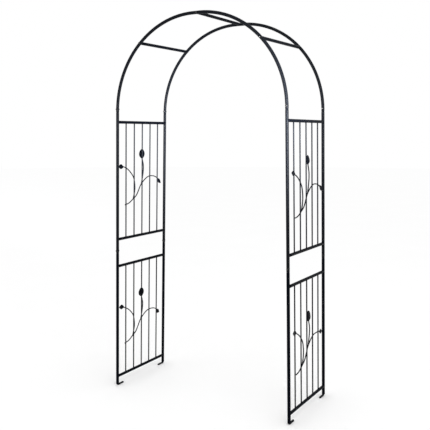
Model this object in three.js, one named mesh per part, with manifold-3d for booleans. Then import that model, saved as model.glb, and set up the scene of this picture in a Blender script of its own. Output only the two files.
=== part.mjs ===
// Garden trellis arch in steel tube: two side panels with vine sprays, two hoops and three crossbars.
// Millimetres. X runs across the walkway, Y runs through it from front to back, Z is up, ground is z = 0.
import * as THREE from "three";
import Module from "manifold-3d";
import { mergeVertices } from "three/addons/utils/BufferGeometryUtils.js";

// Overall layout
const DEPTH = 514; // between the front and back tube axes
const HALF_DEPTH = DEPTH / 2;
const SPLAY = THREE.MathUtils.degToRad(1.2); // lean of each leg towards the walkway
const HOOP_RADIUS = 555; // centreline
const HOOP_CENTRE_Z = 1759;
const TOP_FLAT = 20; // half length of the straight piece at the crown
const CROWN_Z = HOOP_CENTRE_Z + HOOP_RADIUS;
const GAP = 0.3; // air left between neighbouring pieces

// The leg axis is tangent to the hoop, so the ground point follows from the hoop and the splay.
const SPRING_Z = HOOP_CENTRE_Z + HOOP_RADIUS * Math.sin(SPLAY);
const SPRING_LENGTH = SPRING_Z / Math.cos(SPLAY);
const GROUND_X = TOP_FLAT + HOOP_RADIUS * Math.cos(SPLAY) + SPRING_Z * Math.tan(SPLAY);

// Tubes
const TUBE_R = 9.5;
const WALL = 0.9;
const TUBE_BORE_R = TUBE_R - WALL;
const RAIL_R = 9;
const SIDES = 12; // facets round a tube

// Plug joints: a swaged end slides into the plain end of the next tube
const SWAGE_R = 7.9;
const SWAGE_BORE_R = SWAGE_R - WALL;
const SWAGE_TAPER = 5;
const SWAGE_LENGTH = 28;
const MID_SEAM = 872; // measured along the leg
const TOP_SEAM = 1762;
const CROWN_SEAM_X = -6;

// Joint bolts
const BOLT_RISE = 17; // above the seam
const BOLT_SHANK_R = 2.8;
const BOLT_HOLE_R = 3.3;
const BOLT_HEAD_R = 5.8;
const BOLT_HEAD_HEIGHT = 3.9;
const BOLT_HEAD_CHAMFER = 1.1;
const NUT_CORNER_R = 6.2;

// Side panels, heights along the leg
const LOWER_RAILS = [60, 788];
const UPPER_RAILS = [962, 1700];
const BAR_R = 4;
const BAR_COUNT = 5;
const BAR_SPACING = DEPTH / 6;

// Feet: bent flat bar
const FOOT_THICKNESS = 9;
const FOOT_WIDTH = 12;
const FOOT_REACH = 60;
const FOOT_TAB_TOP = 42;
const FOOT_BEND_R = 10;
const LEG_BOTTOM = FOOT_THICKNESS + GAP;

// Crossbars
const LEFT_BAR_ANGLE = THREE.MathUtils.degToRad(47.5);
const RIGHT_BAR_ANGLE = THREE.MathUtils.degToRad(44.2);
const TOP_BAR_X = 8;
const HOOP_STEPS = 7; // facets of the hoop on each side of a crossbar

// Vine sprays: points are [y, height above the panel's lower rail]
const STEM_R = 3.5;
const VINE_OFFSET = BAR_R + GAP + STEM_R; // the stems lie on the outer face of the bars
const MAIN_STEM = [
  [-171, 208], [-130, 216], [-86, 240], [-50, 262], [-10, 320], [0, 331],
  [40, 361], [86, 380], [120, 380], [150, 376], [171, 368], [186, 360],
];
const FRONT_BRANCH = [
  [-86, 240], [-68, 300], [-72, 350], [-86, 386], [-125, 423], [-150, 439], [-171, 448], [-188, 453],
];
const BUD_STEM_FOOT = [[2, 334], [18, 390], [24, 430]];
const BUD_STEM_NECK = [[22, -68], [8, -28], [6, -16]]; // heights from the middle of the bud
const TIP_BEND_Y = 120; // the back tip of the main stem may bend up from here
const STEM_STEPS = { main: 18, branch: 11, bud: 8 };
const LEAF_THICKNESS = 2.4;
const LEAF_OUTLINE = [ // fractions of the length and of the half width, from stalk end to tip
  [-0.5, 0], [-0.34, 0.5], [-0.14, 0.92], [0, 1], [0.16, 0.84], [0.34, 0.42], [0.5, 0],
];
const FRONT_LEAF_STAND = 3; // how far the front leaf stands out from its stem
const BUD_Y = 6;
const BUD_DOME = 12;
const BUD_PROFILE = [ // fractions of the half width and of the height from the middle
  [0, -0.5], [0.22, -0.47], [0.58, -0.35], [0.89, -0.17], [1, 0.02],
  [0.96, 0.17], [0.78, 0.32], [0.49, 0.43], [0.22, 0.49], [0, 0.5],
];

// The sprays are bent by hand, so no two are alike. The drop lowers a spray's stems, or raises
// them where it is negative, and the tip rise lifts the back end of the main stem.
const SPRAYS = {
  left_lower: {
    drop: 10,
    tipRise: 0,
    frontLeaf: { y: -201, z: 448, length: 54, width: 29, tilt: -8 },
    backLeaf: { y: 199, z: 334, length: 48, width: 28, tilt: -34 },
    bud: { z: 510, width: 57, height: 59 },
  },
  left_upper: {
    drop: -5,
    tipRise: 0,
    frontLeaf: { y: -208, z: 459, length: 54, width: 29, tilt: -8 },
    backLeaf: { y: 203, z: 347, length: 56, width: 26, tilt: -40 },
    bud: { z: 537, width: 58, height: 62 },
  },
  right_lower: {
    drop: 3,
    tipRise: 11,
    frontLeaf: { y: -198, z: 454, length: 50, width: 30, tilt: -8 },
    backLeaf: { y: 190, z: 369, length: 46, width: 28, tilt: -12 },
    bud: { z: 508, width: 56, height: 62 },
  },
  right_upper: {
    drop: 7,
    tipRise: 0,
    frontLeaf: { y: -203, z: 451, length: 49, width: 27, tilt: -8 },
    backLeaf: { y: 199, z: 344, length: 58, width: 27, tilt: -40 },
    bud: { z: 520, width: 38, height: 52 },
  },
};

const wasm = await Module();
wasm.setup();
const { Manifold, Mesh } = wasm;

const COAT = { color: 0x14171d, roughness: 0.42, metalness: 0.25 };
const VINE_COAT = { color: 0x0c0e12, roughness: 0.5, metalness: 0.25 };
const BOLT_COAT = { color: 0x08090b, roughness: 0.35, metalness: 0.4 };

// Geometry to manifold solid.
function toSolid(geometry) {
  const bare = geometry.clone();
  bare.deleteAttribute("normal");
  bare.deleteAttribute("uv");
  const merged = mergeVertices(bare, 1e-4);
  const mesh = new Mesh({
    numProp: 3,
    vertProperties: new Float32Array(merged.attributes.position.array),
    triVerts: new Uint32Array(merged.index.array),
  });
  return new Manifold(mesh);
}

// Manifold solid back to geometry.
function toGeometry(solid) {
  const mesh = solid.getMesh();
  const geometry = new THREE.BufferGeometry();
  geometry.setAttribute("position", new THREE.BufferAttribute(mesh.vertProperties, 3));
  geometry.setIndex(new THREE.BufferAttribute(mesh.triVerts, 1));
  geometry.computeVertexNormals();
  return geometry;
}

// Solid turned about Z from [radius, z] pairs.
function turned(profile, sides = SIDES) {
  const points = profile.map(([r, z]) => new THREE.Vector2(r, z));
  return new THREE.LatheGeometry(points, sides).rotateX(Math.PI / 2);
}

// Round rod with its axis along Y, centred on the origin.
function rodAlongY(radius, length, sides = SIDES) {
  return new THREE.CylinderGeometry(radius, radius, length, sides);
}

// Round rod with its axis along Z, centred on the origin.
function rodAlongZ(radius, length, sides = SIDES) {
  return rodAlongY(radius, length, sides).rotateX(Math.PI / 2);
}

// Circle outline for a sweep.
function disc(radius, sides) {
  const shape = new THREE.Shape();
  for (let i = 0; i < sides; i++) {
    const angle = (2 * Math.PI * i) / sides;
    const x = radius * Math.cos(angle);
    const y = radius * Math.sin(angle);
    if (i === 0) shape.moveTo(x, y);
    else shape.lineTo(x, y);
  }
  shape.closePath();
  return shape;
}

// A curve that passes through exact stations, so a sweep has a section at every one of them.
class StationPath extends THREE.Curve {
  constructor(stations) {
    super();
    this.stations = stations;
  }
  getPoint(t, target = new THREE.Vector3()) {
    const last = this.stations.length - 1;
    const place = t * last;
    const index = Math.min(Math.max(Math.floor(place), 0), last - 1);
    return target.lerpVectors(this.stations[index], this.stations[index + 1], place - index);
  }
  getUtoTmapping(u) {
    return u;
  }
}

// Round rod swept through stations.
function sweep(stations, radius, sides) {
  const path = new StationPath(stations);
  const options = { steps: stations.length - 1, extrudePath: path, bevelEnabled: false };
  return new THREE.ExtrudeGeometry(disc(radius, sides), options);
}

// Named mesh with its own material.
function piece(name, geometry, coat) {
  const mesh = new THREE.Mesh(geometry, new THREE.MeshStandardMaterial(coat));
  mesh.name = name;
  return mesh;
}

// Leg tube: plain socket or plain end below, swaged end above, with the bolt holes through it.
function legTube(bottom, seam, boltHeights) {
  const shoulder = seam - SWAGE_TAPER;
  const end = seam + SWAGE_LENGTH;
  const wall = toSolid(turned([
    [TUBE_BORE_R, bottom],
    [TUBE_R, bottom],
    [TUBE_R, shoulder],
    [SWAGE_R, seam],
    [SWAGE_R, end],
    [SWAGE_BORE_R, end],
    [SWAGE_BORE_R, seam],
    [TUBE_BORE_R, shoulder],
    [TUBE_BORE_R, bottom],
  ]));
  const holes = boltHeights.map((z) => {
    const hole = rodAlongY(BOLT_HOLE_R, 4 * TUBE_R, 12).translate(0, 0, z);
    return toSolid(hole);
  });
  return toGeometry(holes.reduce((body, hole) => body.subtract(hole), wall));
}

// Rail tube between two leg axes, saddled to fit both legs.
function saddledTube(cutter) {
  const outside = toSolid(rodAlongY(RAIL_R, DEPTH));
  const bore = toSolid(rodAlongY(RAIL_R - WALL, DEPTH + 2));
  const front = toSolid(cutter.clone().translate(0, -HALF_DEPTH, 0));
  const back = toSolid(cutter.clone().translate(0, HALF_DEPTH, 0));
  return toGeometry(outside.subtract(bore).subtract(front).subtract(back));
}

// Joint bolt along Y with a chamfered round head in front and its nut behind, as one body.
function jointBolt() {
  const face = TUBE_R + GAP;
  const tip = face + BOLT_HEAD_HEIGHT;
  const shankEnd = face + BOLT_HEAD_HEIGHT / 2;
  const bolt = turned([
    [0, -tip],
    [BOLT_HEAD_R - BOLT_HEAD_CHAMFER, -tip],
    [BOLT_HEAD_R, -tip + BOLT_HEAD_CHAMFER],
    [BOLT_HEAD_R, -face],
    [BOLT_SHANK_R, -face],
    [BOLT_SHANK_R, shankEnd],
    [0, shankEnd],
  ]);
  const nut = rodAlongZ(NUT_CORNER_R, BOLT_HEAD_HEIGHT, 6);
  nut.translate(0, 0, shankEnd);
  const solid = toSolid(bolt).add(toSolid(nut));
  return toGeometry(solid).rotateX(-Math.PI / 2);
}

// Foot: a tab that stands inside the leg and a sole that reaches along the side panel.
function footGeometry() {
  const half = FOOT_THICKNESS / 2;
  const outer = FOOT_BEND_R;
  const inner = FOOT_BEND_R - FOOT_THICKNESS;
  const shape = new THREE.Shape();
  shape.moveTo(-half + outer, 0);
  shape.lineTo(FOOT_REACH, 0);
  shape.lineTo(FOOT_REACH, FOOT_THICKNESS);
  shape.lineTo(half + inner, FOOT_THICKNESS);
  shape.absarc(half + inner, FOOT_THICKNESS + inner, inner, -Math.PI / 2, -Math.PI, true);
  shape.lineTo(half, FOOT_TAB_TOP);
  shape.lineTo(-half, FOOT_TAB_TOP);
  shape.lineTo(-half, outer);
  shape.absarc(-half + outer, outer, outer, Math.PI, 1.5 * Math.PI, false);
  const options = { depth: FOOT_WIDTH, bevelEnabled: false, curveSegments: 5 };
  const geometry = new THREE.ExtrudeGeometry(shape, options);
  geometry.translate(0, 0, -FOOT_WIDTH / 2);
  return geometry.rotateX(Math.PI / 2).rotateZ(Math.PI / 2);
}

// Pointed leaf plate in the YZ plane, turned by its tilt.
function leafPlate({ y, z, length, width, tilt }, x) {
  const upper = LEAF_OUTLINE.map(([along, out]) => [along * length, (out * width) / 2]);
  const lower = upper.slice(1, -1).reverse().map(([along, out]) => [along, -out]);
  const shape = new THREE.Shape([...upper, ...lower].map(([along, out]) => new THREE.Vector2(along, out)));
  const plate = new THREE.ExtrudeGeometry(shape, { depth: LEAF_THICKNESS, bevelEnabled: false });
  plate.translate(0, 0, -LEAF_THICKNESS / 2);
  plate.rotateZ(THREE.MathUtils.degToRad(tilt));
  plate.rotateX(Math.PI / 2).rotateZ(Math.PI / 2);
  return toSolid(plate.translate(x, y, z));
}

// Domed bud with a flat back that faces the bars.
function budSolid(side, { z, width, height }) {
  const profile = BUD_PROFILE.map(([out, up]) => [(out * width) / 2, up * height]);
  const dome = turned(profile).scale((2 * BUD_DOME) / width, 1, 1);
  const backX = BAR_R + GAP;
  dome.translate(side * backX, BUD_Y, z);
  const block = 2 * height;
  const cut = new THREE.BoxGeometry(block, block, block);
  cut.translate(side * (backX - block / 2), BUD_Y, z);
  return toSolid(dome).subtract(toSolid(cut));
}

// Smooth stem through [y, z] points in the plane x.
function stem(points, x, steps) {
  const nodes = points.map(([y, z]) => new THREE.Vector3(x, y, z));
  const curve = new THREE.CatmullRomCurve3(nodes, false, "centripetal");
  return toSolid(sweep(curve.getSpacedPoints(steps), STEM_R, 6));
}

// Points of the three stems of a spray.
function stemPoints({ drop, tipRise, bud }) {
  const lowered = (points) => points.map(([y, z]) => [y, z - drop]);
  const tipEnd = MAIN_STEM.at(-1)[0];
  const lifted = ([y, z]) => {
    const bend = Math.max(0, (y - TIP_BEND_Y) / (tipEnd - TIP_BEND_Y));
    return [y, z + tipRise * bend];
  };
  const neck = BUD_STEM_NECK.map(([y, up]) => [y, bud.z + up]);
  return {
    main: lowered(MAIN_STEM).map(lifted),
    branch: lowered(FRONT_BRANCH),
    bud: [...lowered(BUD_STEM_FOOT), ...neck],
  };
}

// One welded spray: three stems, two leaves and a bud.
function vineSpray(side, spray) {
  const x = side * VINE_OFFSET;
  const points = stemPoints(spray);
  const parts = [
    stem(points.branch, x, STEM_STEPS.branch),
    stem(points.bud, x, STEM_STEPS.bud),
    leafPlate(spray.backLeaf, x),
    leafPlate(spray.frontLeaf, x + side * FRONT_LEAF_STAND),
    budSolid(side, spray.bud),
  ];
  const mainStem = stem(points.main, x, STEM_STEPS.main);
  return toGeometry(parts.reduce((body, part) => body.add(part), mainStem));
}

// Point of the hoop centreline on one side, at an angle above the springing line.
function hoopPoint(side, angle) {
  const x = side * (TOP_FLAT + HOOP_RADIUS * Math.cos(angle));
  return new THREE.Vector3(x, 0, HOOP_CENTRE_Z + HOOP_RADIUS * Math.sin(angle));
}

// Point on a leg axis at a distance along it from the ground.
function legPoint(side, distance) {
  const x = side * (GROUND_X - distance * Math.sin(SPLAY));
  return new THREE.Vector3(x, 0, distance * Math.cos(SPLAY));
}

// Stations of a hoop half from its socket at the leg to the straight piece at the crown.
function hoopStations(side, start, crossbarAngle, crownX) {
  const stations = [legPoint(side, start)];
  const plugEnd = SPLAY + (TOP_SEAM + SWAGE_LENGTH + 2 - SPRING_LENGTH) / HOOP_RADIUS;
  stations.push(hoopPoint(side, SPLAY), hoopPoint(side, plugEnd));
  for (let i = 1; i <= HOOP_STEPS; i++) {
    stations.push(hoopPoint(side, THREE.MathUtils.lerp(plugEnd, crossbarAngle, i / HOOP_STEPS)));
  }
  for (let i = 1; i <= HOOP_STEPS; i++) {
    stations.push(hoopPoint(side, THREE.MathUtils.lerp(crossbarAngle, Math.PI / 2, i / HOOP_STEPS)));
  }
  stations.push(new THREE.Vector3(crownX, 0, CROWN_Z));
  return stations;
}

// Bolt hole through a hoop half, on the leg axis.
function hoopBoltHole(side) {
  const at = legPoint(side, TOP_SEAM + BOLT_RISE);
  return toSolid(rodAlongY(BOLT_HOLE_R, 4 * TUBE_R, 12).translate(at.x, 0, at.z));
}

// Right half of a hoop: plain at both ends.
function rightHoopHalf() {
  const outside = sweep(hoopStations(1, TOP_SEAM, RIGHT_BAR_ANGLE, CROWN_SEAM_X), TUBE_R, SIDES);
  const bore = sweep(hoopStations(1, TOP_SEAM - 2, RIGHT_BAR_ANGLE, CROWN_SEAM_X - 2), TUBE_BORE_R, SIDES);
  return toGeometry(toSolid(outside).subtract(toSolid(bore)).subtract(hoopBoltHole(1)));
}

// Left half of a hoop: plain at the leg, swaged at the crown.
function leftHoopHalf() {
  const shoulder = CROWN_SEAM_X - SWAGE_TAPER;
  const end = CROWN_SEAM_X + SWAGE_LENGTH;
  const step = 0.1;
  const atCrown = (geometry) => toSolid(geometry.rotateY(Math.PI / 2).translate(0, 0, CROWN_Z));
  const plug = atCrown(turned([
    [0, shoulder - 2],
    [TUBE_R - step, shoulder - 2],
    [TUBE_R - step, shoulder],
    [SWAGE_R, CROWN_SEAM_X],
    [SWAGE_R, end],
    [0, end],
  ]));
  const plugBore = atCrown(turned([
    [0, shoulder - 2],
    [TUBE_BORE_R - step, shoulder - 2],
    [TUBE_BORE_R - step, shoulder],
    [SWAGE_BORE_R, CROWN_SEAM_X],
    [SWAGE_BORE_R, end + 1],
    [0, end + 1],
  ]));
  const outside = sweep(hoopStations(-1, TOP_SEAM, LEFT_BAR_ANGLE, shoulder), TUBE_R, SIDES);
  const bore = sweep(hoopStations(-1, TOP_SEAM - 2, LEFT_BAR_ANGLE, shoulder - 1), TUBE_BORE_R, SIDES);
  const body = toSolid(outside).add(plug).subtract(toSolid(bore)).subtract(plugBore);
  return toGeometry(body.subtract(hoopBoltHole(-1)));
}

// Crossbar whose ends are saddled to the hoops; tangent is the hoop's slope at the crossbar.
function crossbar(name, point, tangent) {
  const cutter = rodAlongZ(TUBE_R + GAP, 4 * TUBE_R).rotateY(tangent);
  const mesh = piece(name, saddledTube(cutter), COAT);
  mesh.position.copy(point);
  return mesh;
}

// One panel of a side: two rails, five bars and its spray.
function addPanel(group, tag, rails, spray) {
  const saddle = rodAlongZ(TUBE_R + GAP, 4 * TUBE_R);
  const railNames = ["bottom", "top"];
  rails.forEach((height, i) => {
    const rail = piece(`rail_${tag}_${railNames[i]}`, saddledTube(saddle), COAT);
    rail.position.z = height;
    group.add(rail);
  });
  const length = rails[1] - rails[0] - 2 * (RAIL_R + GAP);
  for (let i = 0; i < BAR_COUNT; i++) {
    const bar = piece(`bar_${tag}_${i + 1}`, rodAlongZ(BAR_R, length, 8), COAT);
    bar.position.set(0, (i - (BAR_COUNT - 1) / 2) * BAR_SPACING, (rails[0] + rails[1]) / 2);
    group.add(bar);
  }
  const vine = piece(`vine_${tag}`, spray, VINE_COAT);
  vine.position.z = rails[0];
  group.add(vine);
}

// Legs of one side with their joint bolts, front then back.
function addLegs(group, sideName) {
  const midBolt = MID_SEAM + BOLT_RISE;
  const topBolt = TOP_SEAM + BOLT_RISE;
  for (const [end, sign] of [["front", -1], ["back", 1]]) {
    const tag = `${sideName}_${end}`;
    const lower = piece(`leg_lower_${tag}`, legTube(LEG_BOTTOM, MID_SEAM, [midBolt]), COAT);
    const upper = piece(`leg_upper_${tag}`, legTube(MID_SEAM, TOP_SEAM, [midBolt, topBolt]), COAT);
    const middle = piece(`bolt_mid_${tag}`, jointBolt(), BOLT_COAT);
    const top = piece(`bolt_top_${tag}`, jointBolt(), BOLT_COAT);
    middle.position.z = midBolt;
    top.position.z = topBolt;
    for (const part of [lower, upper, middle, top]) {
      part.position.y = sign * HALF_DEPTH;
      group.add(part);
    }
  }
}

// A whole side, leaning towards the walkway.
function makeSide(sideName, side) {
  const group = new THREE.Group();
  group.name = `side_${sideName}`;
  addLegs(group, sideName);
  for (const [level, rails] of [["lower", LOWER_RAILS], ["upper", UPPER_RAILS]]) {
    const tag = `${sideName}_${level}`;
    addPanel(group, tag, rails, vineSpray(side, SPRAYS[tag]));
  }
  group.position.x = side * GROUND_X;
  group.rotation.y = -side * SPLAY;
  return group;
}

// Foot under a leg, level with the ground.
function makeFoot(sideName, side, end, sign) {
  const foot = piece(`foot_${sideName}_${end}`, footGeometry(), COAT);
  const middle = legPoint(side, FOOT_TAB_TOP / 2);
  foot.position.set(middle.x, sign * HALF_DEPTH, 0);
  if (sign > 0) foot.rotation.z = Math.PI;
  return foot;
}

// Both hoops and the crossbars between them.
function makeArch() {
  const group = new THREE.Group();
  group.name = "arch";
  for (const [end, sign] of [["front", -1], ["back", 1]]) {
    const left = piece(`hoop_${end}_left`, leftHoopHalf(), COAT);
    const right = piece(`hoop_${end}_right`, rightHoopHalf(), COAT);
    left.position.y = sign * HALF_DEPTH;
    right.position.y = sign * HALF_DEPTH;
    group.add(left, right);
  }
  group.add(crossbar("crossbar_left", hoopPoint(-1, LEFT_BAR_ANGLE), LEFT_BAR_ANGLE));
  group.add(crossbar("crossbar_top", new THREE.Vector3(TOP_BAR_X, 0, CROWN_Z), Math.PI / 2));
  group.add(crossbar("crossbar_right", hoopPoint(1, RIGHT_BAR_ANGLE), -RIGHT_BAR_ANGLE));
  return group;
}

const trellisArch = new THREE.Group();
trellisArch.name = "trellis_arch";
for (const [sideName, side] of [["left", -1], ["right", 1]]) {
  trellisArch.add(makeSide(sideName, side));
  trellisArch.add(makeFoot(sideName, side, "front", -1));
  trellisArch.add(makeFoot(sideName, side, "back", 1));
}
trellisArch.add(makeArch());

export default trellisArch;
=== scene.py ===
"""Looks of the metal trellis arch: smooth coated tubes, joints, welds, bolts, feet and vine sprays."""
import math
import random

import bmesh
import bpy
from mathutils import Matrix, Vector, noise


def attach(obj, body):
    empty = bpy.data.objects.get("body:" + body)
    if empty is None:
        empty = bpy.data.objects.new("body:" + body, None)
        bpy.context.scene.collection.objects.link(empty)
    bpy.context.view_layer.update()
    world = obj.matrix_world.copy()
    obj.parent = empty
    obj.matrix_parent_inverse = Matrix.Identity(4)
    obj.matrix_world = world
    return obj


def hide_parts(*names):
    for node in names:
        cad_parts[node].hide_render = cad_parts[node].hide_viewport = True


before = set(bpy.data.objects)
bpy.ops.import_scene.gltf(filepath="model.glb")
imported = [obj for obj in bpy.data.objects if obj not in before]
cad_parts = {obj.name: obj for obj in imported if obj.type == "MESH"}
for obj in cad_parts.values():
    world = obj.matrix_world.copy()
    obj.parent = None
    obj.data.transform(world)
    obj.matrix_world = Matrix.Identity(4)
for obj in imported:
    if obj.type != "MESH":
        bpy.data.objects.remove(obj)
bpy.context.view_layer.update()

MM = 0.001
BODY = "root"

# ---------------------------------------------------------------- sizes, in millimetres
DEPTH = 514
HALF_DEPTH = DEPTH / 2
SPLAY = math.radians(1.2)
HOOP_RADIUS = 555
HOOP_CENTRE_Z = 1759
TOP_FLAT = 20
CROWN_Z = HOOP_CENTRE_Z + HOOP_RADIUS
SPRING_Z = HOOP_CENTRE_Z + HOOP_RADIUS * math.sin(SPLAY)
GROUND_X = TOP_FLAT + HOOP_RADIUS * math.cos(SPLAY) + SPRING_Z * math.tan(SPLAY)

TUBE_R = 9.5
TUBE_WALL = 0.9
TUBE_BORE_R = TUBE_R - TUBE_WALL
TUBE_SIDES = 32
MOUTH_LIP = 0.35
MOUTH_DEPTH_POINTS = 6  # how many points of the path the open bore runs back
# Where the rings of a leg tube are: near its open end, along its shaft and along its plug.
MOUTH_GAPS = (0, 0.5, 3, 8)  # from the open end
SHAFT_GAPS = (20, 14)  # from the open end and from the seam
SHAFT_STEPS = 24
PLUG_START = 4  # from the seam
PLUG_GAPS = (1.5, 0.2)  # from the end of the plug
HOOP_STEPS = 120
SOCKET_STEP = 3.0
CROWN_STEP = 2.5
SWAGE_R = 7.9
SWAGE_TAPER = 5
SWAGE_STEPS = 6
SWAGE_LENGTH = 28
MID_SEAM = 872
TOP_SEAM = 1762
CROWN_SEAM_X = -6
CROWN_PLUG_START, CROWN_PLUG_GAP = 6, 1

RAIL_R = 9
RAIL_STEP = 24.0
RAIL_INSET = TUBE_R - 2.0  # a rail's hidden ends reach this near to the axis of the leg
RAIL_BEAD = 0.95
BAR_R = 4
BAR_SIDES = 20
BAR_STEP = 40.0
BAR_INSET = RAIL_R - 1.0
BAR_BEAD = 0.7
CROSSBAR_INSET = TUBE_R - 1.5
CROSSBAR_BEAD = 0.6
CROSSBAR_SINK = 0.3  # how far the seat of a crossbar is let into the hoop and the bar
RAIL_BEAD_SINK = (0.2, 0.4)  # the same for a rail's weld bead: into the leg and into the rail
BEAD_SIDES = 8
BEAD_STEPS = 40
BEAD_RIPPLE = 0.16
BEAD_WANDER = 0.07
BEAD_WANDER_TURNS = 3.7
WIDE_ROD_R = 5  # beads round thicker rods have more ripples
WIDE_RIPPLES, THIN_RIPPLES = (9, 12), (5, 7)

BOLT_RISE = 17
BOLT_HEAD_R = 5.8
BOLT_STAND = 3.7
BOLT_SIDES = 20
NUT_R = 6.1
NUT_SIDES = 36
SHANK_R = 2.8
HEAD_CHAMFER = 1.1
HEAD_SINK = 2.2
RECESS_R = 1.5
RECESS_DEPTH = 1.2

PANELS = {"lower": (60, 788), "upper": (962, 1700)}
BAR_COUNT = 5
BAR_SPACING = DEPTH / (BAR_COUNT + 1)

FOOT_THICKNESS = 9
FOOT_WIDTH = 12
FOOT_REACH = 60
FOOT_TAB_TOP = 42
FOOT_BEND = 10
FOOT_BEND_STEPS = 8
FOOT_TOE_STEPS = 8
FOOT_EDGE_R = 3.0
FOOT_EDGE_STEPS = 3
FOOT_TIP_HALF_WIDTH = 0.8
# Extra rings of a foot: below the top of its tab, above and past its bend, and along its sole.
FOOT_RING_DROP = 12
FOOT_RING_RISE = 3
FOOT_RING_AFTER = 8
FOOT_RING_MIDDLE = 0.6  # as a fraction of the way to the toe
LEG_BOTTOM = FOOT_THICKNESS + 0.3

CROSSBAR_ANGLES = {"left": math.radians(47.5), "right": math.radians(44.2)}
TOP_BAR_X = 8

STEM_R = 3.5
STEM_TIP_R = 3.3
STEM_SIDES = 16
STEM_UNEVENNESS = 0.035
STEM_UNEVEN_SCALE = 0.08
VINE_OFFSET = BAR_R + STEM_R + 0.1
# The points of a stem are (y, z) pairs above the panel's lower rail.
MAIN_STEM = [
    (-171, 208), (-130, 216), (-86, 240), (-50, 262), (-10, 320), (0, 331),
    (40, 361), (86, 380), (120, 380), (150, 376), (171, 368), (186, 360),
]
FRONT_BRANCH = [
    (-86, 240), (-68, 300), (-72, 350), (-86, 386), (-125, 423), (-150, 439), (-171, 448), (-188, 453),
]
BUD_STEM_FOOT = [(2, 334), (18, 390), (24, 430)]
BUD_STEM_NECK = [(22, -68), (8, -28), (6, -16)]  # heights from the middle of the bud
STEM_STEP = 4.0
STEM_ROUNDING = 12
TIP_BEND_Y = 120  # the back tip of the main stem may bend up from here
FRONT_LEAF_STAND = 3
LEAF_STEPS, LEAF_ACROSS = 36, 18
LEAF_THICKNESS = 1.4
LEAF_BELLY = 0.46  # how far along the leaf its widest place is
LEAF_ROUNDNESS = 0.75
LEAF_TEETH = 7
LEAF_TOOTH_DEPTH = 0.07
LEAF_SWEEP = 0.18
LEAF_LEAST_HALF_WIDTH = 0.5
LEAF_RIB_HEIGHT, LEAF_RIB_WIDTH, LEAF_RIB_TAPER = 0.9, 1.3, 0.6
LEAF_VEIN_HEIGHT, LEAF_VEIN_SWEEP, LEAF_VEIN_FADE = 0.28, 1.1, 0.4
LEAF_CUP = 1.6
PETAL_STEPS, PETAL_ACROSS = 28, 18
PETAL_THICKNESS = 1.3
PETAL_END, PETAL_SPAN = 0.05, 0.90  # the arc of a half circle that shapes a petal's outline
PETAL_FULLNESS = 0.62
PETAL_LIP_START = 0.75
PETAL_RUFFLE = 0.6
PETAL_RUFFLE_TURNS = 7.5
PETAL_RUFFLE_SHIFT = 3
PETAL_LIP_DROP = 0.05
PETAL_HOLLOW = 0.8
PETAL_VEIN_HEIGHT, PETAL_VEIN_TURNS = 0.22, 11
PETAL_ROLL = 1.3
BUD_Y = 6
BUD_STAND = 0.9
BUD_PETALS = [  # y, rise, lean, length and width as fractions of the bud, stand-off, bulge, curl
    (0, 0, 0, 0.99, 0.96, 0.6, 8.0, 0.3),
    (-1, 2, 11, 0.88, 0.82, 0.9, 7.4, 0.6),
    (1, 2, -11, 0.88, 0.82, 1.2, 7.4, 0.6),
    (-6, 4, 2, 0.69, 0.60, 3.6, 6.4, 0.9),
    (2, 1, -18, 0.65, 0.56, 4.6, 5.6, 0.9),
]
SEPAL_LEANS = (-42, 40)
SEPAL_LENGTH, SEPAL_WIDTH = 16, 8
SEPAL_DROP, SEPAL_STAND = 1, 1.5
SEPAL_BULGE, SEPAL_CURL = 1.6, 0.6
CALYX_PROFILE = [(-3, 2.8), (0, 3.5), (3, 4.4), (6, 5.0), (9, 3.8), (11, 2.0)]
CALYX_DROP = 3
CALYX_SIDES = 20

# Drop lowers all the stems, and tip_rise lifts the back tip of the main stem.
# Leaves are (y, z, length, width, tilt) and buds (z, width, height), above the panel's lower rail.
SPRAYS = {
    "left_lower": {
        "drop": 10, "tip_rise": 0, "front_leaf": (-201, 448, 54, 30, 172),
        "back_leaf": (199, 334, 48, 28, -34), "bud": (510, 57, 59),
    },
    "left_upper": {
        "drop": -5, "tip_rise": 0, "front_leaf": (-208, 459, 54, 30, 172),
        "back_leaf": (203, 347, 56, 26, -40), "bud": (537, 58, 62),
    },
    "right_lower": {
        "drop": 3, "tip_rise": 11, "front_leaf": (-198, 454, 50, 31, 172),
        "back_leaf": (190, 369, 46, 28, -12), "bud": (508, 56, 62),
    },
    "right_upper": {
        "drop": 7, "tip_rise": 0, "front_leaf": (-203, 451, 49, 28, 172),
        "back_leaf": (199, 344, 58, 27, -40), "bud": (520, 38, 52),
    },
}

# ---------------------------------------------------------------- mesh helpers

NEARLY_UPRIGHT = 0.2  # sine of a path's angle to the vertical
LATHE_SIDES = 28


def new_object(name, mesh_builder, material):
    """A smooth-shaded mesh object from a bmesh, with its material."""
    mesh = bpy.data.meshes.new(name)
    bmesh.ops.recalc_face_normals(mesh_builder, faces=mesh_builder.faces)
    mesh_builder.to_mesh(mesh)
    mesh_builder.free()
    for polygon in mesh.polygons:
        polygon.use_smooth = True
    mesh.materials.append(material)
    piece = bpy.data.objects.new(name, mesh)
    bpy.context.scene.collection.objects.link(piece)
    return piece


def declare(piece, slot, *nodes):
    """Rides the piece on the body, in place of its CAD nodes if it has any."""
    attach(piece, BODY)
    if nodes:
        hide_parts(*nodes)


def axes_along(points):
    """Side and up vectors at each point of a path, without twist."""
    tangents = []
    last = len(points) - 1
    for i in range(len(points)):
        ahead = points[min(i + 1, last)]
        behind = points[max(i - 1, 0)]
        tangents.append((ahead - behind).normalized())
    side = tangents[0].cross(Vector((0.0, 0.0, 1.0)))
    if side.length < NEARLY_UPRIGHT:
        side = Vector((0.0, 1.0, 0.0))
    side -= tangents[0] * side.dot(tangents[0])
    side.normalize()
    axes = []
    for tangent in tangents:
        side = (side - tangent * side.dot(tangent)).normalized()
        axes.append((side, tangent.cross(side)))
    return axes


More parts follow.
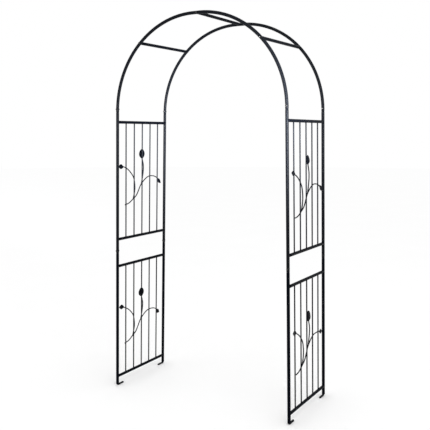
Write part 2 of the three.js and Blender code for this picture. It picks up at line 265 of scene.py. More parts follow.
def skin(builder, rings, closed_ends=True):
    """Faces between successive rings of vertices, with flat caps if the ends are closed."""
    for lower, upper in zip(rings, rings[1:]):
        count = len(lower)
        for i in range(count):
            j = (i + 1) % count
            builder.faces.new((lower[i], lower[j], upper[j], upper[i]))
    if closed_ends:
        builder.faces.new(list(reversed(rings[0])))
        builder.faces.new(rings[-1])


def ring_round(builder, point, axes, radius, sides):
    """A ring of vertices round a point of a path."""
    side, up = axes
    ring = []
    for i in range(sides):
        angle = math.tau * i / sides
        offset = side * math.cos(angle) + up * math.sin(angle)
        ring.append(builder.verts.new((point + offset * radius) * MM))
    return ring


def rod(builder, points, radii, sides=TUBE_SIDES):
    """A round rod through points in millimetres, with a radius at every point."""
    rings = []
    for point, radius, axes in zip(points, radii, axes_along(points)):
        rings.append(ring_round(builder, point, axes, radius, sides))
    skin(builder, rings)


def lathe(builder, profile, place, sides=LATHE_SIDES):
    """A turned solid. Profile pairs are (height, radius) along the place's Z axis."""
    rings = []
    for height, radius in profile:
        ring = []
        for i in range(sides):
            angle = math.tau * i / sides
            local = Vector((radius * math.cos(angle), radius * math.sin(angle), height))
            ring.append(builder.verts.new((place @ local) * MM))
        rings.append(ring)
    skin(builder, rings)


def spaced(points, step):
    """Points of a smooth curve through the given points, one every step or so."""
    padded = [points[0] * 2 - points[1]] + list(points) + [points[-1] * 2 - points[-2]]
    result = []
    for a, b, c, d in zip(padded, padded[1:], padded[2:], padded[3:]):
        count = max(2, round((c - b).length / step))
        for i in range(count):
            t = i / count
            result.append(0.5 * (
                2 * b + (c - a) * t + (2 * a - 5 * b + 4 * c - d) * t ** 2
                + (3 * b - a - 3 * c + d) * t ** 3))
    result.append(points[-1].copy())
    return result


# ---------------------------------------------------------------- places


def leg_point(side, distance, y=0.0):
    """Point on a leg axis at a distance from the ground."""
    x = side * (GROUND_X - distance * math.sin(SPLAY))
    return Vector((x, y, distance * math.cos(SPLAY)))


def hoop_point(side, angle, y=0.0):
    """Point on a hoop centreline at an angle above the springing line."""
    x = side * (TOP_FLAT + HOOP_RADIUS * math.cos(angle))
    return Vector((x, y, HOOP_CENTRE_Z + HOOP_RADIUS * math.sin(angle)))


def side_place(side):
    """Frame of a side panel: X to the right of the arch, Y to the back, Z up along the legs."""
    return Matrix.Translation((side * GROUND_X, 0, 0)) @ Matrix.Rotation(-side * SPLAY, 4, "Y")


# ---------------------------------------------------------------- materials

MIX_FACTOR, MIX_FIRST_COLOUR, MIX_SECOND_COLOUR, MIX_RESULT = 0, 6, 7, 2  # sockets of a colour Mix node
BLACK, WHITE = (0, 0, 0), (1, 1, 1)
NOISE_ROUGHNESS = 0.55
TONE_SCALE, SCUFF_SCALE, GLOSS_SCALE = 26.0, 420.0, 60.0
BARE_DARK, BARE_LIGHT = (0.02, 0.022, 0.027), (0.07, 0.07, 0.075)
PEEL_STRENGTH, PEEL_DEPTH = 0.05, 0.0003
FLOOR_DARK, FLOOR_LIGHT = (0.98, 0.98, 0.98), (0.988, 0.988, 0.988)
FLOOR_SCALE = 1.5
FLOOR_ROUGHNESS = 0.95
COAT_SPECULAR = 0.05
LOWER_SPECULAR = 0.03
BOLT_SPECULAR = 0.5


class Nodes:
    """Short calls for building a node material."""

    def __init__(self, name):
        self.material = bpy.data.materials.new(name)
        self.material.use_nodes = True
        self.tree = self.material.node_tree
        self.shader = self.tree.nodes["Principled BSDF"]

    def add(self, kind, **inputs):
        node = self.tree.nodes.new(kind)
        for key, value in inputs.items():
            node.inputs[key.replace("_", " ")].default_value = value
        return node

    def link(self, source, target):
        self.tree.links.new(source, target)

    def noise(self, scale, detail, place):
        node = self.add("ShaderNodeTexNoise", Scale=scale, Detail=detail, Roughness=NOISE_ROUGHNESS)
        self.link(place.outputs["Object"], node.inputs["Vector"])
        return node

    def ramp(self, source, stops):
        node = self.add("ShaderNodeValToRGB")
        elements = node.color_ramp.elements
        for element, (position, colour) in zip(elements, (stops[0], stops[-1])):
            element.position = position
            element.color = (*colour, 1.0)
        for position, colour in stops[1:-1]:
            elements.new(position).color = (*colour, 1.0)
        self.link(source, node.inputs["Fac"])
        return node


def grey(value):
    """A grey of the given value."""
    return (value, value, value)


def coat(name, dark, light, gloss, grain, wear=0.35, specular=COAT_SPECULAR):
    """Black powder coat: orange-peel grain, uneven tone and gloss, and edges rubbed paler."""
    nodes = Nodes(name)
    place = nodes.add("ShaderNodeTexCoord")
    cloud = nodes.noise(TONE_SCALE, 4.0, place)
    tone = nodes.ramp(cloud.outputs["Fac"], [(0.32, dark), (0.68, light)])

    geometry = nodes.add("ShaderNodeNewGeometry")
    edge = nodes.ramp(geometry.outputs["Pointiness"], [(0.56, BLACK), (0.66, WHITE)])
    scuff = nodes.noise(SCUFF_SCALE, 5.0, place)
    rubbed = nodes.ramp(scuff.outputs["Fac"], [(0.50, BLACK), (0.66, grey(wear))])
    mask = nodes.add("ShaderNodeMath")
    mask.operation = "MULTIPLY"
    nodes.link(edge.outputs["Color"], mask.inputs[0])
    nodes.link(rubbed.outputs["Color"], mask.inputs[1])

    mix = nodes.add("ShaderNodeMix")
    mix.data_type = "RGBA"
    bare = nodes.ramp(scuff.outputs["Fac"], [(0.45, BARE_DARK), (0.7, BARE_LIGHT)])
    nodes.link(mask.outputs[0], mix.inputs[MIX_FACTOR])
    nodes.link(tone.outputs["Color"], mix.inputs[MIX_FIRST_COLOUR])
    nodes.link(bare.outputs["Color"], mix.inputs[MIX_SECOND_COLOUR])
    nodes.link(mix.outputs[MIX_RESULT], nodes.shader.inputs["Base Color"])

    smear = nodes.noise(GLOSS_SCALE, 3.0, place)
    low, high = gloss
    sheen = nodes.ramp(smear.outputs["Fac"], [(0.35, grey(low)), (0.65, grey(high))])
    nodes.link(sheen.outputs["Color"], nodes.shader.inputs["Roughness"])

    peel = nodes.noise(grain, 2.0, place)
    bump = nodes.add("ShaderNodeBump", Strength=PEEL_STRENGTH, Distance=PEEL_DEPTH)
    nodes.link(peel.outputs["Fac"], bump.inputs["Height"])
    nodes.link(bump.outputs["Normal"], nodes.shader.inputs["Normal"])
    nodes.shader.inputs["Metallic"].default_value = 0.0
    nodes.shader.inputs["Specular IOR Level"].default_value = specular
    return nodes.material


def floor_coat():
    """Matt white backdrop with a barely uneven surface."""
    nodes = Nodes("backdrop_white")
    place = nodes.add("ShaderNodeTexCoord")
    cloud = nodes.noise(FLOOR_SCALE, 2.0, place)
    tone = nodes.ramp(cloud.outputs["Fac"], [(0.3, FLOOR_DARK), (0.7, FLOOR_LIGHT)])
    nodes.link(tone.outputs["Color"], nodes.shader.inputs["Base Color"])
    nodes.shader.inputs["Roughness"].default_value = FLOOR_ROUGHNESS
    nodes.shader.inputs["Specular IOR Level"].default_value = 0.0
    return nodes.material


# The upper legs and hoops get a lighter slate copy of the black coat. This is painted light for the
# light that falls on the upper frame. The lower coat is the plain dark copy, with less specular as
# well.
UPPER_COAT_PAINTED_LIGHT = coat(
    "upper_coat_painted_light", (0.0052, 0.0061, 0.0083), (0.0062, 0.0072, 0.0098),
    gloss=(0.39, 0.46), grain=900.0)
LOWER_COAT = coat(
    "lower_coat", (0.0005, 0.0012, 0.0034), (0.0010, 0.0020, 0.0048),
    gloss=(0.36, 0.48), grain=900.0, specular=LOWER_SPECULAR)
# The upper bars get a lighter copy of the bar coat. This is painted light for the light they catch from
# the right.
UPPER_BAR_COAT_PAINTED_LIGHT = coat(
    "upper_bar_coat", (0.0125, 0.0145, 0.0185), (0.0150, 0.0170, 0.0215),
    gloss=(0.42, 0.50), grain=1100.0)
BAR_COAT = coat(
    "bar_coat", (0.0006, 0.0014, 0.0036), (0.0012, 0.0024, 0.0050),
    gloss=(0.36, 0.50), grain=1100.0)
VINE_COAT = coat(
    "vine_coat", (0.0006, 0.0013, 0.0032), (0.0012, 0.0022, 0.0046),
    gloss=(0.36, 0.52), grain=1100.0)
BOLT_COAT = coat(
    "bolt_coat", (0.0006, 0.0007, 0.0010), (0.0012, 0.0013, 0.0017),
    gloss=(0.18, 0.26), grain=220.0, wear=0.25, specular=BOLT_SPECULAR)
WELD_COAT = coat(
    "weld_coat", (0.0006, 0.0013, 0.0034), (0.0014, 0.0026, 0.0054),
    gloss=(0.30, 0.46), grain=600.0, wear=0.5)

# ---------------------------------------------------------------- legs and hoops


def open_tube(builder, points, radii):
    """A tube whose first end is open: its wall turns in and its bore runs back a short way inside."""
    axes = axes_along(points)
    depth = min(MOUTH_DEPTH_POINTS, len(points) - 1)
    places = [(i, TUBE_BORE_R) for i in range(depth, -1, -1)]
    places += [(0, radii[0] - MOUTH_LIP)]
    places += [(i, radius) for i, radius in enumerate(radii)]
    rings = [ring_round(builder, points[i], axes[i], radius, TUBE_SIDES) for i, radius in places]
    skin(builder, rings)


def line(start, end, step):
    """Evenly spaced points from start to end."""
    count = max(1, round((end - start).length / step))
    return [start.lerp(end, i / count) for i in range(count + 1)]


def swaged_radius(t):
    """Radius of a tube that narrows to a plug, at t from 0 to 1 along the taper."""
    ease = t * t * (3 - 2 * t)
    return TUBE_R + (SWAGE_R - TUBE_R) * ease


def swaged_profile(distances, seam):
    """Radius at each distance of a tube that narrows to a plug at the seam."""
    radii = []
    for distance in distances:
        t = (distance - (seam - SWAGE_TAPER)) / SWAGE_TAPER
        radii.append(swaged_radius(min(max(t, 0.0), 1.0)))
    return radii


def leg_distances(bottom, seam):
    """Distances along a leg tube, close together near its ends."""
    mouth = [bottom + gap for gap in MOUTH_GAPS]
    start, stop = bottom + SHAFT_GAPS[0], seam - SHAFT_GAPS[1]
    shaft = [start + (stop - start) * i / SHAFT_STEPS for i in range(SHAFT_STEPS + 1)]
    taper = [seam - SWAGE_TAPER + SWAGE_TAPER * i / SWAGE_STEPS for i in range(SWAGE_STEPS + 1)]
    plug_end = seam + SWAGE_LENGTH
    plug = [seam + PLUG_START, plug_end - PLUG_GAPS[0], plug_end - PLUG_GAPS[1]]
    return mouth + shaft + taper + plug


def add_leg(side, side_name, sign, end, level, bottom, seam):
    """One leg tube, open below and swaged above."""
    distances = leg_distances(bottom, seam)
    points = [leg_point(side, d, sign * HALF_DEPTH) for d in distances]
    builder = bmesh.new()
    open_tube(builder, points, swaged_profile(distances, seam))
    name = f"leg_{level}_{side_name}_{end}"
    # Upper legs take the lighter coat, which is painted light. Lower legs take the plain dark coat.
    material = UPPER_COAT_PAINTED_LIGHT if level == "upper" else LOWER_COAT
    declare(new_object(f"look_{name}", builder, material), "black_frame_coat", name)


def hoop_path(side, crown_x, y):
    """Centreline of a hoop half from its socket at the leg to the crown."""
    points = line(leg_point(side, TOP_SEAM, y), hoop_point(side, SPLAY, y), SOCKET_STEP)[:-1]
    for i in range(HOOP_STEPS + 1):
        angle = SPLAY + (math.pi / 2 - SPLAY) * i / HOOP_STEPS
        points.append(hoop_point(side, angle, y))
    return points + line(points[-1], Vector((crown_x, y, CROWN_Z)), CROWN_STEP)[1:]


def add_right_hoop(sign, end):
    """Right half of a hoop. Its crown end is an open socket."""
    y = sign * HALF_DEPTH
    points = list(reversed(hoop_path(1, CROWN_SEAM_X, y)))
    builder = bmesh.new()
    open_tube(builder, points, [TUBE_R] * len(points))
    name = f"hoop_{end}_right"
    declare(new_object(f"look_{name}", builder, UPPER_COAT_PAINTED_LIGHT), "black_frame_coat", name)


def add_left_hoop(sign, end):
    """Left half of a hoop, swaged at the crown to plug into the right half."""
    y = sign * HALF_DEPTH
    points = hoop_path(-1, CROWN_SEAM_X - SWAGE_TAPER, y)
    radii = [TUBE_R] * len(points)
    for i in range(1, SWAGE_STEPS + 1):
        t = i / SWAGE_STEPS
        points.append(Vector((CROWN_SEAM_X - SWAGE_TAPER * (1 - t), y, CROWN_Z)))
        radii.append(swaged_radius(t))
    for x in (CROWN_SEAM_X + CROWN_PLUG_START, CROWN_SEAM_X + SWAGE_LENGTH - CROWN_PLUG_GAP):
        points.append(Vector((x, y, CROWN_Z)))
        radii.append(SWAGE_R)
    builder = bmesh.new()
    open_tube(builder, points, radii)
    name = f"hoop_{end}_left"
    declare(new_object(f"look_{name}", builder, UPPER_COAT_PAINTED_LIGHT), "black_frame_coat", name)


# ---------------------------------------------------------------- rails, bars, crossbars and welds


def weld_ring(builder, centre, axis, tube_axis, tube_r, rod_r, bead, seed, sides=BEAD_STEPS):
    """A rippled bead round a rod where it meets a tube. The rod runs along its axis from the centre."""
    axis = axis.normalized()
    along = tube_axis.normalized()
    across = axis.cross(along).normalized()
    rng = random.Random(seed)
    phase = rng.random() * math.tau
    ripples = rng.randint(*(WIDE_RIPPLES if rod_r > WIDE_ROD_R else THIN_RIPPLES))
    rings = []
    for i in range(sides):
        angle = math.tau * i / sides
        u, v = math.cos(angle), math.sin(angle)
        reach = rod_r * v
        height = math.sqrt(max(tube_r ** 2 - reach ** 2, 0.0))
        corner = centre + along * (rod_r * u) + across * reach + axis * height
        outward = (along * u + across * v).normalized()
        ripple = BEAD_RIPPLE * math.sin(ripples * angle + phase)
        wander = BEAD_WANDER * math.sin(BEAD_WANDER_TURNS * angle)
        size = bead * (1 + ripple + wander)
        ring = []
        for k in range(BEAD_SIDES):
            turn = math.tau * k / BEAD_SIDES
            offset = outward * math.cos(turn) + axis * math.sin(turn)
            ring.append(builder.verts.new((corner + offset * size) * MM))
        rings.append(ring)
    rings.append(rings[0])
    skin(builder, rings, closed_ends=False)


def add_rail(side, side_name, level, name_end, height):
    """Rail tube with a weld bead at each leg."""
    place = side_place(side)
    front = place @ Vector((0, -HALF_DEPTH, height))
    back = place @ Vector((0, HALF_DEPTH, height))
    axis = (back - front).normalized()
    builder = bmesh.new()
    points = line(front + axis * RAIL_INSET, back - axis * RAIL_INSET, RAIL_STEP)
    rod(builder, points, [RAIL_R] * len(points))
    name = f"rail_{side_name}_{level}_{name_end}"
    declare(new_object(f"look_{name}", builder, LOWER_COAT), "black_frame_coat", name)
    builder = bmesh.new()
    leg_axis = (place @ Vector((0, 0, 1)) - place @ Vector((0, 0, 0)))
    tube_r, rail_r = TUBE_R - RAIL_BEAD_SINK[0], RAIL_R - RAIL_BEAD_SINK[1]
    weld_ring(builder, front, axis, leg_axis, tube_r, rail_r, RAIL_BEAD, f"{name}a")
    weld_ring(builder, back, -axis, leg_axis, tube_r, rail_r, RAIL_BEAD, f"{name}b")
    declare(new_object(f"weld_{name}", builder, WELD_COAT), "black_frame_coat")


def add_bar(side, side_name, level, index, rails):
    """Thin upright bar with a small bead at each rail."""
    place = side_place(side)
    y = (index - (BAR_COUNT - 1) / 2) * BAR_SPACING
    low = place @ Vector((0, y, rails[0]))
    high = place @ Vector((0, y, rails[1]))
    axis = (high - low).normalized()
    points = line(low + axis * BAR_INSET, high - axis * BAR_INSET, BAR_STEP)
    builder = bmesh.new()
    rod(builder, points, [BAR_R] * len(points), BAR_SIDES)
    name = f"bar_{side_name}_{level}_{index + 1}"
    # Upper bars take the lighter coat, which is painted light. Lower bars take the plain dark coat.
    material = UPPER_BAR_COAT_PAINTED_LIGHT if level == "upper" else BAR_COAT
    declare(new_object(f"look_{name}", builder, material), "black_bar_coat", name)
    builder = bmesh.new()
    along = Vector((0, 1, 0))
    weld_ring(builder, low, axis, along, RAIL_R, BAR_R, BAR_BEAD, f"{name}a", BAR_SIDES)
    weld_ring(builder, high, -axis, along, RAIL_R, BAR_R, BAR_BEAD, f"{name}b", BAR_SIDES)
    declare(new_object(f"weld_{name}", builder, WELD_COAT), "black_frame_coat")


def add_crossbar(name, centre, tangent):
    """Crossbar between the hoops, with a thin seat round each end."""
    front = centre + Vector((0, -HALF_DEPTH, 0))
    back = centre + Vector((0, HALF_DEPTH, 0))
    axis = Vector((0, 1, 0))
    points = line(front + axis * CROSSBAR_INSET, back - axis * CROSSBAR_INSET, RAIL_STEP)
    builder = bmesh.new()
    rod(builder, points, [RAIL_R] * len(points))
    node = f"crossbar_{name}"
    declare(new_object(f"look_{node}", builder, LOWER_COAT), "black_frame_coat", node)
    builder = bmesh.new()
    tube_r, bar_r = TUBE_R - CROSSBAR_SINK, RAIL_R - CROSSBAR_SINK
    weld_ring(builder, front, axis, tangent, tube_r, bar_r, CROSSBAR_BEAD, f"{node}a")
    weld_ring(builder, back, -axis, tangent, tube_r, bar_r, CROSSBAR_BEAD, f"{node}b")
    declare(new_object(f"seat_{node}", builder, WELD_COAT), "black_frame_coat")


# ---------------------------------------------------------------- bolts and screws


def round_head(builder, place):
    """Flat round head with a chamfer and a small recess. The place's Z axis leaves the tube."""
    radius, top, cut = BOLT_HEAD_R, BOLT_STAND, HEAD_CHAMFER
    wall = [(-HEAD_SINK, radius - 0.3), (0.1, radius), (top - cut, radius)]
    chamfer = [
        (top - 0.4 * cut, radius - 0.35 * cut), (top - 0.1 * cut, radius - 0.75 * cut),
        (top, radius - cut),
    ]
    recess = [
        (top, RECESS_R + 0.2), (top - 0.2, RECESS_R), (top - RECESS_DEPTH, RECESS_R - 0.2),
        (top - RECESS_DEPTH, 0.2),
    ]
    lathe(builder, wall + chamfer + recess, place)


def hex_nut(builder, place):
    """Hexagonal nut with chamfered corners round a short bolt end."""
    top = BOLT_STAND
    rings = []
    profile = [(-HEAD_SINK, 0.97), (top * 0.08, 1.0), (top * 0.66, 1.0), (top * 0.74, 0.93)]
    for height, corner in profile:
        ring = []
        for i in range(NUT_SIDES):
            angle = math.tau * i / NUT_SIDES
            folded = (angle % (math.pi / 3)) - math.pi / 6
            radius = min(NUT_R * corner, NUT_R * math.cos(math.pi / 6) / math.cos(folded))
            local = Vector((radius * math.cos(angle), radius * math.sin(angle), height))
            ring.append(builder.verts.new((place @ local) * MM))
        rings.append(ring)
    skin(builder, rings)
    lathe(builder, [(0, SHANK_R), (top * 0.9, SHANK_R), (top, SHANK_R * 0.85)], place, BOLT_SIDES)


def bolt_places(point, lean):
    """Frames on the front and back of a tube at a point of its axis. Their Z axes leave the tube."""
    turn = Matrix.Rotation(lean, 4, "Y")
    places = []
    for sign in (-1, 1):
        surface = Matrix.Translation(point + Vector((0, sign * TUBE_R, 0)))
        places.append(surface @ turn @ Matrix.Rotation(-sign * math.pi / 2, 4, "X"))
    return places


def add_joint_bolt(side, side_name, sign, end, level, seam):
    """Bolt, shank and nut through a leg joint."""
    point = leg_point(side, seam + BOLT_RISE, sign * HALF_DEPTH)
    front, back = bolt_places(point, -side * SPLAY)
    builder = bmesh.new()
    round_head(builder, front)
    hex_nut(builder, back)
    lathe(builder, [(-2 * TUBE_R, SHANK_R), (0, SHANK_R)], front, BOLT_SIDES)
    name = f"bolt_{level}_{side_name}_{end}"
    declare(new_object(f"look_{name}", builder, BOLT_COAT), "black_fastener", name)


def add_crossbar_screws(name, centre, lean):
    """Screw heads on the outer faces of both hoops at a crossbar."""
    builder = bmesh.new()
    for sign, index in ((-1, 0), (1, 1)):
        point = centre + Vector((0, sign * HALF_DEPTH, 0))
        round_head(builder, bolt_places(point, lean)[index])
    declare(new_object(f"screws_crossbar_{name}", builder, BOLT_COAT), "black_fastener")


# ---------------------------------------------------------------- feet


def foot_spine():
    """Centreline of a foot as (reach, height) pairs from tab to toe, and where the toe begins."""
    bend = FOOT_BEND - FOOT_THICKNESS / 2
    pairs = [(0, FOOT_TAB_TOP), (0, FOOT_TAB_TOP - FOOT_RING_DROP), (0, FOOT_BEND + FOOT_RING_RISE)]
    for i in range(FOOT_BEND_STEPS + 1):
        angle = math.pi + (math.pi / 2) * i / FOOT_BEND_STEPS
        pairs.append((bend + bend * math.cos(angle), FOOT_BEND + bend * math.sin(angle)))
    flat = FOOT_THICKNESS / 2
    toe = FOOT_REACH - FOOT_WIDTH / 2
    pairs += [(bend + FOOT_RING_AFTER, flat), (toe * FOOT_RING_MIDDLE, flat), (toe, flat)]
    for i in range(1, FOOT_TOE_STEPS + 1):
        pairs.append((toe + FOOT_WIDTH / 2 * math.sin(math.pi / 2 * i / FOOT_TOE_STEPS), flat))
    return pairs, toe


def foot_section(half_width, soft):
    """Outline of the flat bar with rounded edges: (across, through) pairs."""
    half_thickness = FOOT_THICKNESS / 2
    outline = []
    for corner_x, corner_y, start in ((1, 1, 0), (-1, 1, 1), (-1, -1, 2), (1, -1, 3)):
        for k in range(FOOT_EDGE_STEPS + 1):
            angle = math.pi / 2 * (start + k / FOOT_EDGE_STEPS)
            outline.append((
                corner_x * (half_width - soft) + soft * math.cos(angle),
                corner_y * (half_thickness - soft) + soft * math.sin(angle)))
    return outline


def add_foot(side, side_name, sign, end):
    """Bent flat bar with rounded edges and a rounded toe."""
    origin = leg_point(side, FOOT_TAB_TOP / 2)
    pairs, toe = foot_spine()
    builder = bmesh.new()
    rings = []
    last = len(pairs) - 1
    for i, (reach, height) in enumerate(pairs):
        ahead, behind = pairs[min(i + 1, last)], pairs[max(i - 1, 0)]
        slope = Vector((ahead[0] - behind[0], ahead[1] - behind[1])).normalized()
        past = max(0.0, reach - toe) / (FOOT_WIDTH / 2)
        half_width = FOOT_WIDTH / 2 * math.sqrt(max(1 - past * past, 0.0))
        half_width = max(half_width, FOOT_TIP_HALF_WIDTH)
        soft = min(FOOT_EDGE_R, half_width / 2)
        ring = []
        for across, through in foot_section(half_width, soft):
            y = reach - slope.y * through
            z = height + slope.x * through
            point = Vector((origin.x + across, sign * (HALF_DEPTH - y), max(z, 0.0)))
            ring.append(builder.verts.new(point * MM))
        rings.append(ring)
    skin(builder, rings)
    name = f"foot_{side_name}_{end}"
    declare(new_object(f"look_{name}", builder, BAR_COAT), "black_frame_coat", name)


# ---------------------------------------------------------------- vine sprays


def rounded(points, passes):
    """The same path with its sharp bends rounded, as in a rod bent by hand. Its ends stay."""
    for _ in range(passes):
        middle = [(a + b * 2 + c) / 4 for a, b, c in zip(points, points[1:], points[2:])]
        points = [points[0]] + middle + [points[-1]]
    return points


def stem_points(pairs, place, x):
    """Stem centreline on a panel, from (y, z) pairs."""
    path = spaced([place @ Vector((x, y, z)) for y, z in pairs], STEM_STEP)
    return rounded(path, STEM_ROUNDING)


def tapered(builder, points):
    """A stem that thins towards its tip, with a slight hand-forged unevenness."""
    last = len(points) - 1
    radii = []
    for i, point in enumerate(points):
        t = i / last
        wobble = 1 + STEM_UNEVENNESS * noise.noise(point * STEM_UNEVEN_SCALE)
        radii.append((STEM_R + (STEM_TIP_R - STEM_R) * t) * wobble)
    rod(builder, points, radii, STEM_SIDES)


def sheet_row(builder, place, row, shift):
    """Vertices of one row of (y, z, x) surface points, shifted along X."""
    return [builder.verts.new((place @ Vector((x + shift, y, z))) * MM) for y, z, x in row]


def sheet_solid(builder, place, rows, thickness):
    """A closed shell from rows of (y, z, x) surface points, thickened along X."""
    front, back = [], []
    for row in rows:
        front.append(sheet_row(builder, place, row, thickness / 2))
        back.append(sheet_row(builder, place, row, -thickness / 2))
    for layer in (front, back):
        for a, b in zip(layer, layer[1:]):
            for i in range(len(a) - 1):
                builder.faces.new((a[i], a[i + 1], b[i + 1], b[i]))
    for i in range(len(rows[0]) - 1):
        for end in (0, -1):
            near, far = front[end], back[end]
            builder.faces.new((near[i], near[i + 1], far[i + 1], far[i]))
    for j in range(len(rows) - 1):
        for edge in (0, -1):
            near, far = (front[j][edge], back[j][edge]), (front[j + 1][edge], back[j + 1][edge])
            builder.faces.new((near[0], far[0], far[1], near[1]))


def leaf_relief(t, s, half, belly):
    """How far a leaf stands out at t along it and s across it: midrib, side veins and cup."""
    rib = LEAF_RIB_HEIGHT * math.exp(-(s * half / LEAF_RIB_WIDTH) ** 2) * (1 - t * LEAF_RIB_TAPER)
    wave = math.sin((t * LEAF_TEETH - abs(s) * LEAF_VEIN_SWEEP) * math.tau)
    vein = LEAF_VEIN_HEIGHT * wave * abs(s) * (1 - abs(s) * LEAF_VEIN_FADE)
    cup = LEAF_CUP * s * s * belly - LEAF_CUP / 2 * belly
    return rib + vein + cup


def leaf(builder, place, side, x, spec):
    """Pressed leaf with a midrib, side veins and toothed edges."""
    y0, z0, length, width, tilt = spec
    turn = math.radians(tilt)
    rows = []
    for i in range(LEAF_STEPS + 1):
        t = i / LEAF_STEPS
        rise = t / LEAF_BELLY if t < LEAF_BELLY else (1 - t) / (1 - LEAF_BELLY)
        belly = (1 - LEAF_ROUNDNESS) * rise + LEAF_ROUNDNESS * math.sin(math.pi / 2 * rise)
        teeth = 1 + LEAF_TOOTH_DEPTH * abs(math.sin(LEAF_TEETH * math.pi * t))
        half = max(width / 2 * belly * teeth, LEAF_LEAST_HALF_WIDTH)
        row = []
        for j in range(LEAF_ACROSS + 1):
            s = 2 * j / LEAF_ACROSS - 1
            along = (t - 0.5) * length + abs(s) * half * LEAF_SWEEP
            over = s * half
            y = y0 + along * math.cos(turn) - over * math.sin(turn)
            z = z0 + along * math.sin(turn) + over * math.cos(turn)
            row.append((y, z, x + side * leaf_relief(t, s, half, belly)))
        rows.append(row)
    sheet_solid(builder, place, rows, LEAF_THICKNESS)


def petal(builder, place, side, centre, lean, length, width, base_x, bulge, curl):
    """One bud petal: a cupped oval shield with a soft, rolled lip."""
    y0, z0 = centre
    turn = math.radians(lean)
    rows = []
    for i in range(PETAL_STEPS + 1):
        t = i / PETAL_STEPS
        swell = math.sin(math.pi * (PETAL_END + PETAL_SPAN * t))
        half = width / 2 * swell ** PETAL_FULLNESS
        lip = max(0.0, t - PETAL_LIP_START) / (1 - PETAL_LIP_START)
        row = []
        for j in range(PETAL_ACROSS + 1):
            s = 2 * j / PETAL_ACROSS - 1
            phase = s * PETAL_RUFFLE_TURNS + curl * PETAL_RUFFLE_SHIFT
            ruffle = PETAL_RUFFLE * lip * math.sin(phase)
            along = t * length - lip * s * s * length * PETAL_LIP_DROP + ruffle
            over = s * half
            dome = bulge * swell * (1 - s * s * PETAL_HOLLOW)
            veins = PETAL_VEIN_HEIGHT * math.cos(s * PETAL_VEIN_TURNS) * math.sin(math.pi * t)
            roll = curl * lip ** 2 * PETAL_ROLL
            y = y0 + over * math.cos(turn) - along * math.sin(turn)
            z = z0 + along * math.cos(turn) + over * math.sin(turn)
            row.append((y, z, side * (base_x + dome + veins + roll)))
        rows.append(row)
    sheet_solid(builder, place, rows, PETAL_THICKNESS)


def calyx(builder, place, side, z, height):
    """Small cup that holds the bud, in line with the end of its stem."""
    (low_y, low_up), (high_y, high_up) = BUD_STEM_NECK[:2]
    slope = (low_y - high_y) / (high_up - low_up)
    below = height / 2 + CALYX_DROP
    y = high_y + slope * (high_up + below)
    foot = Matrix.Translation((side * VINE_OFFSET, y, z - below))
    lean = Matrix.Rotation(math.atan(slope), 4, "X")
    lathe(builder, CALYX_PROFILE, place @ foot @ lean, CALYX_SIDES)


def bud(builder, place, side, spec):
    """Oval rosebud of overlapping petals in a small cup with two sepals, lying on the bars."""
    z, width, height = spec
    inner = BAR_R + BUD_STAND
    base = z - height / 2
    for y, rise, lean, long, wide, out, bulge, curl in BUD_PETALS:
        petal(builder, place, side, (BUD_Y + y, base + rise), lean, long * height, wide * width,
              inner + out, bulge, curl)
    calyx(builder, place, side, z, height)
    for lean in SEPAL_LEANS:
        petal(builder, place, side, (BUD_Y, base - SEPAL_DROP), lean, SEPAL_LENGTH, SEPAL_WIDTH,
              inner + SEPAL_STAND, SEPAL_BULGE, SEPAL_CURL)


def stem_pairs(spray):
    """(y, z) points of the main stem, the front branch and the bud's stem of a spray."""
    drop, rise = spray["drop"], spray["tip_rise"]
    tip_end = MAIN_STEM[-1][0]
    main = []
    for y, z in MAIN_STEM:
        bend = max(0.0, (y - TIP_BEND_Y) / (tip_end - TIP_BEND_Y))
        main.append((y, z - drop + rise * bend))
    branch = [(y, z - drop) for y, z in FRONT_BRANCH]
    bud_z = spray["bud"][0]
    top = [(y, z - drop) for y, z in BUD_STEM_FOOT] + [(y, bud_z + up) for y, up in BUD_STEM_NECK]
    return main, branch, top


def add_vine(side, side_name, level):
    """One spray of stems, leaves and bud on the outer face of the bars."""
    place = side_place(side) @ Matrix.Translation((0, 0, PANELS[level][0]))
    spray = SPRAYS[f"{side_name}_{level}"]
    x = side * VINE_OFFSET
    builder = bmesh.new()
    for pairs in stem_pairs(spray):
        tapered(builder, stem_points(pairs, place, x))
    leaf(builder, place, side, x, spray["back_leaf"])
    leaf(builder, place, side, x + side * FRONT_LEAF_STAND, spray["front_leaf"])
    bud(builder, place, side, spray["bud"])
    name = f"vine_{side_name}_{level}"
    declare(new_object(f"look_{name}", builder, VINE_COAT), "black_vine_coat", name)


# ---------------------------------------------------------------- assembly


def build_side(side, side_name):
    """Legs, bolts, feet, rails, bars and sprays of one side."""
    for sign, end in ((-1, "front"), (1, "back")):
        add_leg(side, side_name, sign, end, "lower", LEG_BOTTOM, MID_SEAM)
        add_leg(side, side_name, sign, end, "upper", MID_SEAM, TOP_SEAM)
        add_joint_bolt(side, side_name, sign, end, "mid", MID_SEAM)
        add_joint_bolt(side, side_name, sign, end, "top", TOP_SEAM)
        add_foot(side, side_name, sign, end)
    for level, rails in PANELS.items():
        add_rail(side, side_name, level, "bottom", rails[0])
        add_rail(side, side_name, level, "top", rails[1])
        for index in range(BAR_COUNT):
            add_bar(side, side_name, level, index, rails)
        add_vine(side, side_name, level)


def build_arch():
    """Hoops, crossbars and their screws."""
    for sign, end in ((-1, "front"), (1, "back")):
        add_left_hoop(sign, end)
        add_right_hoop(sign, end)
    for side, name in ((-1, "left"), (1, "right")):
        angle = CROSSBAR_ANGLES[name]
        tangent = Vector((-side * math.sin(angle), 0, math.cos(angle)))
        add_crossbar(name, hoop_point(side, angle), tangent)
        add_crossbar_screws(name, hoop_point(side, angle), -side * angle)
    crown = Vector((TOP_BAR_X, 0, CROWN_Z))
    add_crossbar("top", crown, Vector((1, 0, 0)))
    add_crossbar_screws("top", crown, 0.0)


# ---------------------------------------------------------------- stage, camera and light

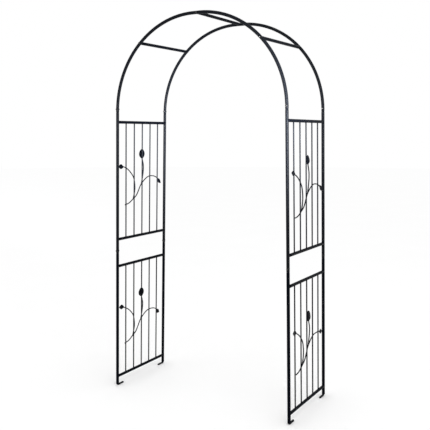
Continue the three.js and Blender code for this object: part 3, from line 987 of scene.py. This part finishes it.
CAMERA_AZIMUTH = math.radians(30.59)
CAMERA_ELEVATION = math.radians(6.68)
CAMERA_DISTANCE = 4.307
CAMERA_SIDE = 0.02166
CAMERA_RISE = 0.07238
CAMERA_TARGET = Vector((0.0, 0.0, 1.2))
SENSOR = 36.0
LENS = 58.2
FLOOR_RINGS = (1.0, 2.0, 4.0, 7.0, 30.0)
FLOOR_SIDES = 96
LAMPS = {  # metres and watts, with the spread in degrees
    "key": {
        "place": (2.4, -2.0, 4.6), "aim": (0, 0, 1.6), "size": (1.6, 1.6),
        "power": 22, "colour": (1.0, 1.0, 1.0), "spread": 180,
    },
    "beam": {
        "place": (2.9, -2.35, 1.75), "aim": (0, 0, 1.68), "size": (0.5, 0.3),
        "power": 13, "colour": (0.88, 0.93, 1.0), "spread": 20,
    },
    "glint": {
        "place": (-0.62, -2.81, 1.89), "aim": (0.5747, -0.1, 1.78), "size": (0.36, 0.36),
        "power": 1.1, "colour": (1.0, 1.0, 1.0), "spread": 25,
    },
}


def add_stage():
    """Wide round white floor that meets the white surroundings."""
    builder = bmesh.new()
    centre = builder.verts.new((0, 0, 0))
    rings = []
    for radius in FLOOR_RINGS:
        ring = []
        for i in range(FLOOR_SIDES):
            angle = math.tau * i / FLOOR_SIDES
            ring.append(builder.verts.new((radius * math.cos(angle), radius * math.sin(angle), 0)))
        rings.append(ring)
    for i in range(FLOOR_SIDES):
        builder.faces.new((centre, rings[0][i], rings[0][(i + 1) % FLOOR_SIDES]))
    skin(builder, rings, closed_ends=False)
    new_object("studio_floor", builder, floor_coat())


def add_camera():
    """Camera at the viewing angle of the catalogue picture."""
    data = bpy.data.cameras.new("camera")
    data.sensor_width = SENSOR
    data.lens = LENS
    camera = bpy.data.objects.new("camera", data)
    back = Vector((
        math.sin(CAMERA_AZIMUTH) * math.cos(CAMERA_ELEVATION),
        -math.cos(CAMERA_AZIMUTH) * math.cos(CAMERA_ELEVATION),
        math.sin(CAMERA_ELEVATION)))
    right = (-back).cross(Vector((0, 0, 1))).normalized()
    up = right.cross(-back)
    turn = Matrix((right, up, back)).transposed().to_4x4()
    place = CAMERA_TARGET + back * CAMERA_DISTANCE - right * CAMERA_SIDE - up * CAMERA_RISE
    camera.matrix_world = Matrix.Translation(place) @ turn
    bpy.context.scene.collection.objects.link(camera)
    bpy.context.scene.camera = camera


def add_lamp(name, spec):
    """Rectangular lamp that looks at a point. A small spread makes a narrow beam."""
    data = bpy.data.lights.new(name, "AREA")
    data.shape = "RECTANGLE"
    data.size, data.size_y = spec["size"]
    data.energy = spec["power"]
    data.color = spec["colour"]
    data.spread = math.radians(spec["spread"])
    lamp = bpy.data.objects.new(name, data)
    lamp.location = spec["place"]
    view = Vector(spec["aim"]) - Vector(spec["place"])
    lamp.rotation_euler = view.to_track_quat("-Z", "Y").to_euler()
    bpy.context.scene.collection.objects.link(lamp)


def add_light():
    """Even white surroundings, a soft key from above, and two narrow lamps on the upper tubes."""
    world = bpy.data.worlds.new("studio")
    world.use_nodes = True
    background = world.node_tree.nodes["Background"]
    background.inputs["Color"].default_value = (1.0, 1.0, 1.0, 1.0)
    background.inputs["Strength"].default_value = 1.0
    bpy.context.scene.world = world
    bpy.context.scene.view_settings.view_transform = "Standard"
    for name, spec in LAMPS.items():
        add_lamp(name, spec)


# ---------------------------------------------------------------- the model

build_side(-1, "left")
build_side(1, "right")
build_arch()
add_stage()
add_camera()
add_light()
